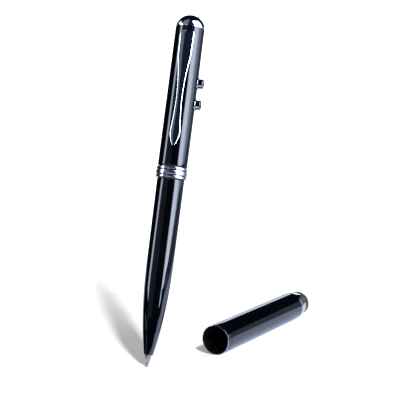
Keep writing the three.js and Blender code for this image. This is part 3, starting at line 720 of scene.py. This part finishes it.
# the lamp: a clear round-ended body with its collar, as a small signal lamp has
lampShape = {"bottom": 131.8, "collar": 1.8, "collarHigh": 0.7, "radius": 1.5, "top": 137.1,
             "round": 0.08}


def makeLamp():
    bottom, radius, collarRadius = lampShape["bottom"], lampShape["radius"], lampShape["collar"]
    foot = bottom + lampShape["collarHigh"]
    profile = [(0, bottom), (collarRadius, bottom), (collarRadius, foot), (radius, foot)]
    profile += arc((0, lampShape["top"] - radius), (radius, radius), 0, 90, 14)
    piece = turnedPiece("lampBody", profile, sides=48)
    rounded(piece, lampShape["round"], segments=2, angle=50)
    settle(piece, penPlace @ shift(dome["lampPort"][1], 0, 0), "lamp", penFinishes)


makeLamp()
print("upper barrel, dome and lamp made")

# the clip: a sprung blade with round shoulders that narrows to a waist and ends in a leaf. Its face
# is a little convex, with a polished bevel down each edge that narrows with the blade. A mark is a
# share of the length, the rise as a share of the hump, and the half width as a share of another.
clip = {"top": 130.0, "length": 45.8, "foot": 6.45, "half": 0.4, "hump": 1.4, "shoulder": 2.65,
        "waist": 1.14, "leaf": 1.86, "crown": 0.17, "crownSteps": 5, "bevelRight": 0.21,
        "bevelLeft": 0.15, "bevelSlope": 0.64, "bevelBelly": (0.45, 0.42), "rings": 100,
        "ringPower": 1.25, "tongueWide": 3, "tongueIn": 4.15, "tongueOut": 0.5,
        "tongueThick": 1.6,
        "marks": ((0, 0.4, "shoulder", 0.62), (0.008, 0.6, "shoulder", 0.8),
                  (0.022, 0.84, "shoulder", 0.94), (0.045, 0.97, "shoulder", 1),
                  (0.07, 1, "shoulder", 1), (0.15, 1, "shoulder", 0.96),
                  (0.24, 0.97, "shoulder", 0.92), (0.31, 0.93, "shoulder", 0.76),
                  (0.38, 0.87, "shoulder", 0.61), (0.45, 0.79, "shoulder", 0.52),
                  (0.54, 0.66, "waist", 1), (0.63, 0.47, "waist", 1), (0.71, 0.31, "waist", 1.12),
                  (0.79, 0.14, "leaf", 0.83), (0.86, 0.02, "leaf", 0.98), (0.9, 0, "leaf", 1),
                  (0.93, 0.1, "leaf", 0.84), (0.965, 0.22, "leaf", 0.57),
                  (0.985, 0.31, "leaf", 0.4), (0.995, 0.36, "leaf", 0.25),
                  (1, 0.4, "leaf", 0.1))}


# the rise and width at a share of the length, on a smooth curve through the marks
def clipAt(share, marks):
    k = next(i for i in range(len(marks) - 1) if share <= marks[i + 1][0])
    start, end = marks[k], marks[k + 1]
    before, after = marks[max(k - 1, 0)], marks[min(k + 2, len(marks) - 1)]
    span = end[0] - start[0]
    t = (share - start[0]) / span
    values = []
    for part in (1, 2):
        a, b = start[part], end[part]
        slopeA = (b - before[part]) / (end[0] - before[0]) * span
        slopeB = (after[part] - a) / (after[0] - start[0]) * span
        values.append(a * (1 + 2 * t) * (1 - t) ** 2 + slopeA * t * (1 - t) ** 2
                      + b * t * t * (3 - 2 * t) + slopeB * t * t * (t - 1))
    return values


# the blade's middle line as (height, out, half width), from its top down
def clipLine():
    marks = [(share, rise * clip["hump"], part * clip[width])
             for share, rise, width, part in clip["marks"]]
    line = []
    for i in range(clip["rings"] + 1):
        share = (i / clip["rings"]) ** clip["ringPower"]
        rise, wide = clipAt(share, marks)
        line.append((clip["top"] + clip["half"] - clip["length"] * share, clip["foot"] + rise,
                     wide))
    return line


# the section of the blade where it is widest, as (out, across) from its middle plane, from one
# back edge round the front to the other
def clipSection():
    wide, back, crown = clip["shoulder"], clip["half"], clip["crown"]
    bellyOut, bellyAcross = clip["bevelBelly"]

    def edge(bevel):
        face, drop = wide - bevel, bevel * clip["bevelSlope"]
        side = back - crown - drop
        steps = [1 - i / clip["crownSteps"] for i in range(clip["crownSteps"] + 1)]
        return [(side, wide), (side + bellyOut * drop, wide - bellyAcross * bevel)] + [
            (back - crown * step ** 2, face * step) for step in steps]

    left = [(out, -across) for out, across in reversed(edge(clip["bevelLeft"])[:-1])]
    return [(-back, wide)] + edge(clip["bevelRight"]) + left + [(-back, -wide)]


def makeClip():
    line, back, near = clipLine(), clip["half"], 0.01
    height, out, wide = line[0]
    scale = wide / clip["shoulder"]
    first = [(out + (o if o == -back else back + (o - back) * scale), across * scale, height)
             for o, across in clipSection()]
    piece = drawLine("clipBlade", first)
    bpy.ops.mesh.select_all(action="SELECT")
    bpy.ops.mesh.edge_face_add()
    for toHeight, toOut, toWide in line[1:]:
        grow = toWide / wide
        extrude(toOut - out, 0, toHeight - height)
        bpy.ops.transform.resize(value=(1, grow, 1), center_override=(toOut, 0, toHeight))
        # all but the flat back is drawn in towards the front
        pick(piece, lambda co: abs(co.z - toHeight) < near and co.x > toOut - 0.99 * back)
        bpy.ops.transform.resize(value=(grow, 1, 1), center_override=(toOut + back, 0, toHeight))
        pick(piece, lambda co: abs(co.z - toHeight) < near)
        height, out, wide = toHeight, toOut, toWide
    bpy.ops.mesh.select_all(action="SELECT")
    bpy.ops.mesh.normals_make_consistent(inside=False)
    bpy.ops.object.mode_set(mode="OBJECT")
    tongueEnd, tongueIn = clip["foot"] + clip["tongueOut"], clip["tongueIn"]
    size = (tongueEnd - tongueIn, clip["tongueWide"], clip["tongueThick"] * back)
    tongue = boxTool(size, shift((tongueEnd + tongueIn) / 2, 0, clip["top"]))
    combine(piece, tongue, "UNION")
    settle(piece, clipPlace, "clip", penFinishes, smooth=14)


makeClip()
print("clip made")

# the two push buttons and the collars that they stand in, drawn upright and then laid outwards;
# a collar is bright on its front rim and dark on its side
button = {"foot": 3.6, "flange": 2.3, "flangeHigh": 0.6, "radius": 1.9, "face": 8.0,
          "bevel": 0.3, "dish": 0.12, "dishSteps": ((0.25, 0.02), (0.45, 0.12))}
knobFinish = lacquerFinish("knobPen", penPlace, {**lacquerLook, "ior": 2.0})
collar = {"bore": 2.0, "outer": 2.35, "bottom": 4.3, "top": 6.15, "round": 0.12, "paintIn": 0.5}


def makeButton(which, place):
    foot, face, radius, bevel = (button[k] for k in ("foot", "face", "radius", "bevel"))
    flange, flangeTop = button["flange"], foot + button["flangeHigh"]
    profile = [(0, foot), (flange, foot), (flange, flangeTop), (radius, flangeTop),
               (radius, face - bevel)]
    profile += arc((radius - bevel, face - bevel), (bevel, bevel), 20, 90, 4)
    profile += [(radius - bevel - inset, face - deep) for inset, deep in button["dishSteps"]]
    profile.append((0, face - button["dish"]))
    piece = turnedPiece(which + "ButtonKnob", profile, sides=64)
    settle(piece, place, which + "_button", {"black_lacquer": knobFinish})


def makeCollar(which, place):
    outer, top, edge = collar["outer"], collar["top"], collar["round"]
    ring = ringPiece(which + "CollarRing", collar["bore"], outer, collar["bottom"], top, edge,
                     sides=64)
    settle(ring, place, which + "_collar", penFinishes)

    def onSide(out, height, looks):
        return out > outer - collar["paintIn"] * edge and height < top - edge

    paint(ring, place, penFinishes["black_lacquer"], onSide)


for which in ("laser", "light"):
    place = penPlace @ shift(0, 0, upper[which]) @ turn("Y", 90)
    makeButton(which, place)
    makeCollar(which, place)
print("buttons and collars made")

# the cap: a slightly tapered tube with a bright rim, a chrome ferrule and the rubber stylus tip
capTube = {"wall": 0.5, "rim": 0.22, "lip": 0.08, "edge": 0.06, "steps": 12,
           "rimHigh": 0.5, "rimIn": 0.8}
ferrule = {"shank": 60.8, "shankRadius": 5.3, "start": 65.4, "end": 70.1, "endRadius": 5.3,
           "edge": 0.08, "endEdge": 0.06, "curve": 1.6, "steps": 24, "pocket": 4.3,
           "pocketFloor": 66.7, "bore": 3.41}
stylus = {"seat": 70.2, "side": 2.6, "crown": 76.4, "radius": 5.05, "wall": 1.0, "neck": 4.2,
          "neckLong": 2.2, "foot": 0.2}


def makeCapTube():
    mouth, end, length = pose["capMouth"], pose["capEnd"], pose["capLength"]
    wall, rim, lip, edge = (capTube[k] for k in ("wall", "rim", "lip", "edge"))
    profile = [(mouth - wall, lip), (mouth - wall + lip, 0)]
    profile += arc((mouth - rim, rim), (rim, rim), -90, 0, 5)
    profile += zip(spread(mouth, end, capTube["steps"]),
                   spread(rim, length - edge, capTube["steps"]))
    profile += [(end - edge, length), (end - wall, length), (mouth - wall, lip)]
    piece = turnedPiece("capTubeShell", profile, sides=128)
    settle(piece, capPlace, "cap_tube", capFinishes)

    def onRim(out, height, looks):
        return height < capTube["rimHigh"] * rim and out > mouth - capTube["rimIn"] * rim

    # the inner wall takes the darker black, painted shade inside the cap
    paint(piece, capPlace, shadedInsideFinish, innerWall)
    paint(piece, capPlace, capFinishes["chrome"], onRim)


def makeFerrule():
    start, end, edge = ferrule["start"], ferrule["end"], ferrule["edge"]
    bore, shank, shankRadius = ferrule["bore"], ferrule["shank"], ferrule["shankRadius"]
    wide, narrow, pocket = pose["capEnd"], ferrule["endRadius"], ferrule["pocket"]
    profile = [(bore, shank), (shankRadius, shank), (shankRadius, start), (wide - edge, start)]
    for t in spread(0, 1, ferrule["steps"]):
        profile.append((wide - (wide - narrow) * t ** ferrule["curve"],
                        start + edge + (end - start - edge - ferrule["endEdge"]) * t))
    profile += [(narrow - edge, end), (pocket, end), (pocket, ferrule["pocketFloor"]),
                (bore, ferrule["pocketFloor"]), (bore, shank)]
    piece = turnedPiece("capFerruleShell", profile, sides=128)
    settle(piece, capPlace, "cap_ferrule", capFinishes)


def makeStylus():
    seat, radius, wall, neck = (stylus[k] for k in ("seat", "radius", "wall", "neck"))
    start, side, foot = seat - stylus["neckLong"], seat + stylus["side"], stylus["foot"]
    rise = stylus["crown"] - side
    profile = [(neck - wall, start), (neck, start), (neck, seat)]
    profile += arc((radius - foot, seat + foot), (foot, foot), -90, 0, 4)
    profile += arc((0, side), (radius, rise), 0, 90, 24)
    profile += arc((0, side), (radius - wall, rise - wall), 90, 0, 12)
    profile += [(radius - wall, seat + wall), (neck - wall, seat + wall), (neck - wall, start)]
    piece = turnedPiece("stylusDome", profile, sides=96)
    settle(piece, capPlace, "stylus_tip", capFinishes)


makeCapTube()
makeFerrule()
makeStylus()
print("cap, ferrule and stylus tip made")

# the studio: a white floor, one soft key lamp, and cards that the gloss shows. The floor is lifted
# towards white for the camera's and clear rays from some way off the point and beside the cap:
# painted light that fades the pen's shadow away from the point and wipes out the cap's shadow at
# its side.
floorLook = {"size": 16, "level": -0.00005, "shade": 0.88, "lift": 0.1, "awayFrom": 0.045,
             "awayRise": 3.9, "sideFrom": 0.013, "sideRise": 250, "glow": (0.12, 0.28, 0.67)}


def makeFloor(look):
    bpy.ops.object.select_all(action="DESELECT")
    bpy.ops.mesh.primitive_plane_add(size=look["size"], location=(0, 0, look["level"]))
    floor = bpy.context.object
    floor.name = floor.data.name = "floor"
    finish = Finish("floorPaper")
    spot = finish.node("ShaderNodeTexCoord", output="Object")
    away = finish.node("ShaderNodeVectorMath", {"operation": "LENGTH"}, {"Vector": spot}, "Value")
    side = finish.node("ShaderNodeSeparateXYZ", inputs={"Vector": spot})

    def clamped(value):
        return finish.node("ShaderNodeClamp", inputs={"Value": value})

    # painted light: the lift grows away from the point and on the cap's side, where it fades and
    # wipes out the cast shadow
    beyond = clamped((away - look["awayFrom"]) * look["awayRise"])
    beside = clamped((side - look["sideFrom"]) * look["sideRise"])
    seen = clamped(finish.rays("Camera") + finish.rays("Transmission"))
    # the camera's lift, painted light over the shadows; in the gloss the floor shows the glow
    # colour instead, a painted blue reflection
    plain = seen * (beyond + beside + look["lift"])
    finish.surface({
        "Base Color": (look["shade"], look["shade"], look["shade"], 1), "Roughness": 1,
        "Specular IOR Level": 0, "Emission Strength": 1,
        "Emission Color": finish.blend(finish.rays("Glossy"), plain, look["glow"])})
    floor.data.materials.append(finish.material)


makeFloor(floorLook)

keyLamp = {"heading": -38.3, "height": 45, "energy": 3.1, "spread": 5}
bpy.ops.object.light_add(type="SUN")
key = bpy.context.object
key.name = "keyLamp"
heading, height = math.radians(keyLamp["heading"]), math.radians(keyLamp["height"])
towards = Vector((math.cos(height) * math.cos(heading), math.cos(height) * math.sin(heading),
                  math.sin(height)))
key.rotation_euler = towards.to_track_quat("Z", "Y").to_euler()
key.data.energy = keyLamp["energy"]
key.data.angle = math.radians(keyLamp["spread"])
key.visible_glossy = False

# upright cards that are seen only in the gloss: painted reflections, bright or dark, that light
# nothing and cast no shadow. A span is two azimuths round from the camera, positive to its right;
# heights and away are in metres, and fade is how the light runs across as (place from the left,
# share).
cameraHeading = math.degrees(math.atan2(-shot["towards"][1], -shot["towards"][0]))
plainCard = {"away": 0.6, "behind": 0.03, "tint": (0.8, 0.88, 1), "fade": ((0, 1), (1, 1))}
cards = {
    # the brightest card, a painted reflection of a softbox on the right
    "softboxRight": {"span": (40, 83), "heights": (0, 1.45), "light": 15.5, "tint": (0.7, 0.8, 1),
                     "fade": ((0, 0.75), (0.3, 1), (0.6, 0.9), (0.86, 0.6), (1, 0.34))},
    "cardRight": {"span": (83, 112), "heights": (0, 0.9), "light": 4.6, "tint": (0.6, 0.73, 1),
                  "fade": ((0, 1), (0.5, 0.72), (1, 0.3))},
    "flagBand": {"span": (58, 84), "heights": (0, 0.055), "away": 0.58, "light": 0.25,
                 "tint": (0.6, 0.67, 1), "fade": ((0, 0), (1, 1))},
    "flagBandFoot": {"span": (54, 58), "heights": (0, 0.034), "away": 0.58, "light": 0.05,
                     "tint": (0.6, 0.67, 1)},
    "flagRightLow": {"span": (79, 120), "heights": (0, 0.055), "away": 0.55, "light": 0.5,
                     "tint": (0.65, 0.76, 1), "fade": ((0, 1), (1, 0.8))},
    "flagRightBack": {"span": (112, 150), "heights": (0, 0.17), "light": 0.45,
                      "tint": (0.6, 0.7, 1), "fade": ((0, 1), (1, 0.7))},
    "topLeft": {"span": (-128, -86), "heights": (0.36, 0.62), "light": 1.6,
                "fade": ((0, 0.3), (0.7, 1))},
    "slateLeft": {"span": (-86, -66), "heights": (0.5, 2.6), "light": 0.35,
                  "tint": (0.57, 0.75, 1)},
    "stripLeft": {"span": (-86, -69), "heights": (0.09, 0.5), "light": 9.5,
                  "tint": (0.72, 0.83, 1), "fade": ((0, 0.8), (0.5, 1), (1, 0.8))},
    "cardFront": {"span": (-66, -17), "heights": (0, 2.6), "light": 0.3,
                  "tint": (0.57, 0.75, 1), "fade": ((0, 1), (1, 0.7))},
    "flagFront": {"span": (-17, 40), "heights": (0, 1.3), "light": 0.03, "tint": (0.3, 0.45, 1)},
    "flagLeftBack": {"span": (-160, -90), "heights": (0, 0.3), "away": 0.45, "light": 0.01,
                     "tint": (0.3, 0.4, 1)},
    "backdrop": {"span": (160, 200), "heights": (0, 0.36), "away": 1.0, "light": 2.4},
    "backdropFoot": {"span": (155, 205), "heights": (0, 0.07), "away": 0.5, "light": 0.4},
}


# makes a card or sheet glow, and hides it from all rays but the glossy ones
def finishStudio(made, finish, colour, light):
    finish.surface({"Base Color": (0, 0, 0, 1), "Specular IOR Level": 0, "Roughness": 1,
                    "Emission Color": colour, "Emission Strength": light})
    made.data.materials.append(finish.material)
    for ray in ("camera", "diffuse", "shadow", "transmission"):
        setattr(made, "visible_" + ray, False)


def makeCard(name, card):
    (left, right), (low, high), away = card["span"], card["heights"], card["away"]
    middle = math.radians(cameraHeading + (left + right) / 2)
    half = math.radians((right - left) / 2)
    centre = (away * math.cos(middle), away * math.sin(middle) + card["behind"], (low + high) / 2)
    bpy.ops.object.select_all(action="DESELECT")
    bpy.ops.mesh.primitive_plane_add(size=1, location=centre,
                                     rotation=(math.pi / 2, 0, middle + math.pi / 2))
    made = bpy.context.object
    made.name = made.data.name = name
    made.scale = (2 * away * math.tan(half), high - low, 1)
    bpy.ops.object.transform_apply()
    finish = Finish(name)
    spot = finish.node("ShaderNodeTexCoord", output="UV")
    across = finish.node("ShaderNodeSeparateXYZ", inputs={"Vector": spot})
    colour = finish.blend(finish.ramp(across, card["fade"]), (0, 0, 0), card["tint"])
    finishStudio(made, finish, colour, card["light"])


for name, card in cards.items():
    makeCard(name, {**plainCard, **card})

# sheets on the floor round the pen, low screens before its nose and a ceiling, all seen only in the
# gloss: painted reflections, dark where the light is 0 and glowing where it is not, that light
# nothing. Each spans two azimuths, and its reach is two distances from the point, with a height for
# each.
plainSheet = {"heights": (0.0004, 0.0004), "light": 0, "tint": (0.6, 0.67, 1), "steps": 16}
sheets = {
    "screenFoot": {"span": (-56, 54), "reach": (0.03, 0.03), "heights": (0.0003, 0.008)},
    "screenLow": {"span": (-56, 66), "reach": (0.03, 0.03), "heights": (0.008, 0.0135)},
    "screenMiddle": {"span": (-56, 74), "reach": (0.03, 0.03), "heights": (0.0135, 0.018)},
    "screenHigh": {"span": (-56, 80), "reach": (0.03, 0.03), "heights": (0.018, 0.0215)},
    "screenRight": {"span": (61, 84), "reach": (0.03, 0.03), "heights": (0.0215, 0.03)},
    "sheetNear": {"span": (40, 63), "reach": (0.06, 0.1)},
    "sheetMiddle": {"span": (40, 76), "reach": (0.1, 0.19)},
    "sheetFar": {"span": (-56, 34), "reach": (0.19, 0.64)},
    "sheetWedge": {"span": (58, 80), "reach": (0.19, 0.42)},
    "ceiling": {"span": (-66, -17), "reach": (0.05, 0.62), "heights": (2.0, 2.0), "light": 0.4},
    "sheetLeft": {"span": (-134, -63), "reach": (0.012, 0.64)},
    "sheetRight": {"span": (84, 150), "reach": (0.19, 0.64), "light": 0.4},
    # the glow sheets paint a blue reflection of the floor near the pen
    "glowFoot": {"span": (50, 112), "reach": (0.012, 0.06), "light": 3.2},
    "glowNear": {"span": (63, 112), "reach": (0.06, 0.1), "light": 3.2},
    "glowMiddle": {"span": (76, 112), "reach": (0.1, 0.19), "light": 3.0},
    "glowFront": {"span": (-50, 10), "reach": (0.034, 0.19), "light": 7},
}


def makeSheet(name, sheet):
    (left, right), (near, far), (low, high) = sheet["span"], sheet["reach"], sheet["heights"]
    azimuths = [math.radians(cameraHeading + azimuth)
                for azimuth in [left] + spread(left, right, sheet["steps"])]
    made = drawLine(name, [(near * math.cos(a), near * math.sin(a), low) for a in azimuths])
    bpy.ops.mesh.select_all(action="SELECT")
    extrude(0, 0, high - low)
    grow = far / near
    bpy.ops.transform.resize(value=(grow, grow, 1), center_override=(0, 0, 0))
    bpy.ops.object.mode_set(mode="OBJECT")
    finishStudio(made, Finish(name), (*sheet["tint"], 1), sheet["light"])


for name, sheet in sheets.items():
    makeSheet(name, {**plainSheet, **sheet})

# the room lights the object evenly, is almost dark in the gloss, and is white behind it all
roomLight = {"fill": 0.4, "gloss": (0.004, 0.006, 0.012)}
world = bpy.data.worlds.new("room")
bpy.context.scene.world = world
room = Finish("room", world)
seen, clear, glossy = (room.rays(kind) for kind in ("Camera", "Transmission", "Glossy"))
white = seen + clear * (1 - seen)
levels = {channel: white + (1 - white) * (glossy * dark + (1 - glossy) * roomLight["fill"])
          for channel, dark in zip(("Red", "Green", "Blue"), roomLight["gloss"])}
room.surface({"Color": room.node("ShaderNodeCombineColor", inputs=levels), "Strength": 1})

bpy.context.scene.view_settings.view_transform = "Standard"
print("studio made")
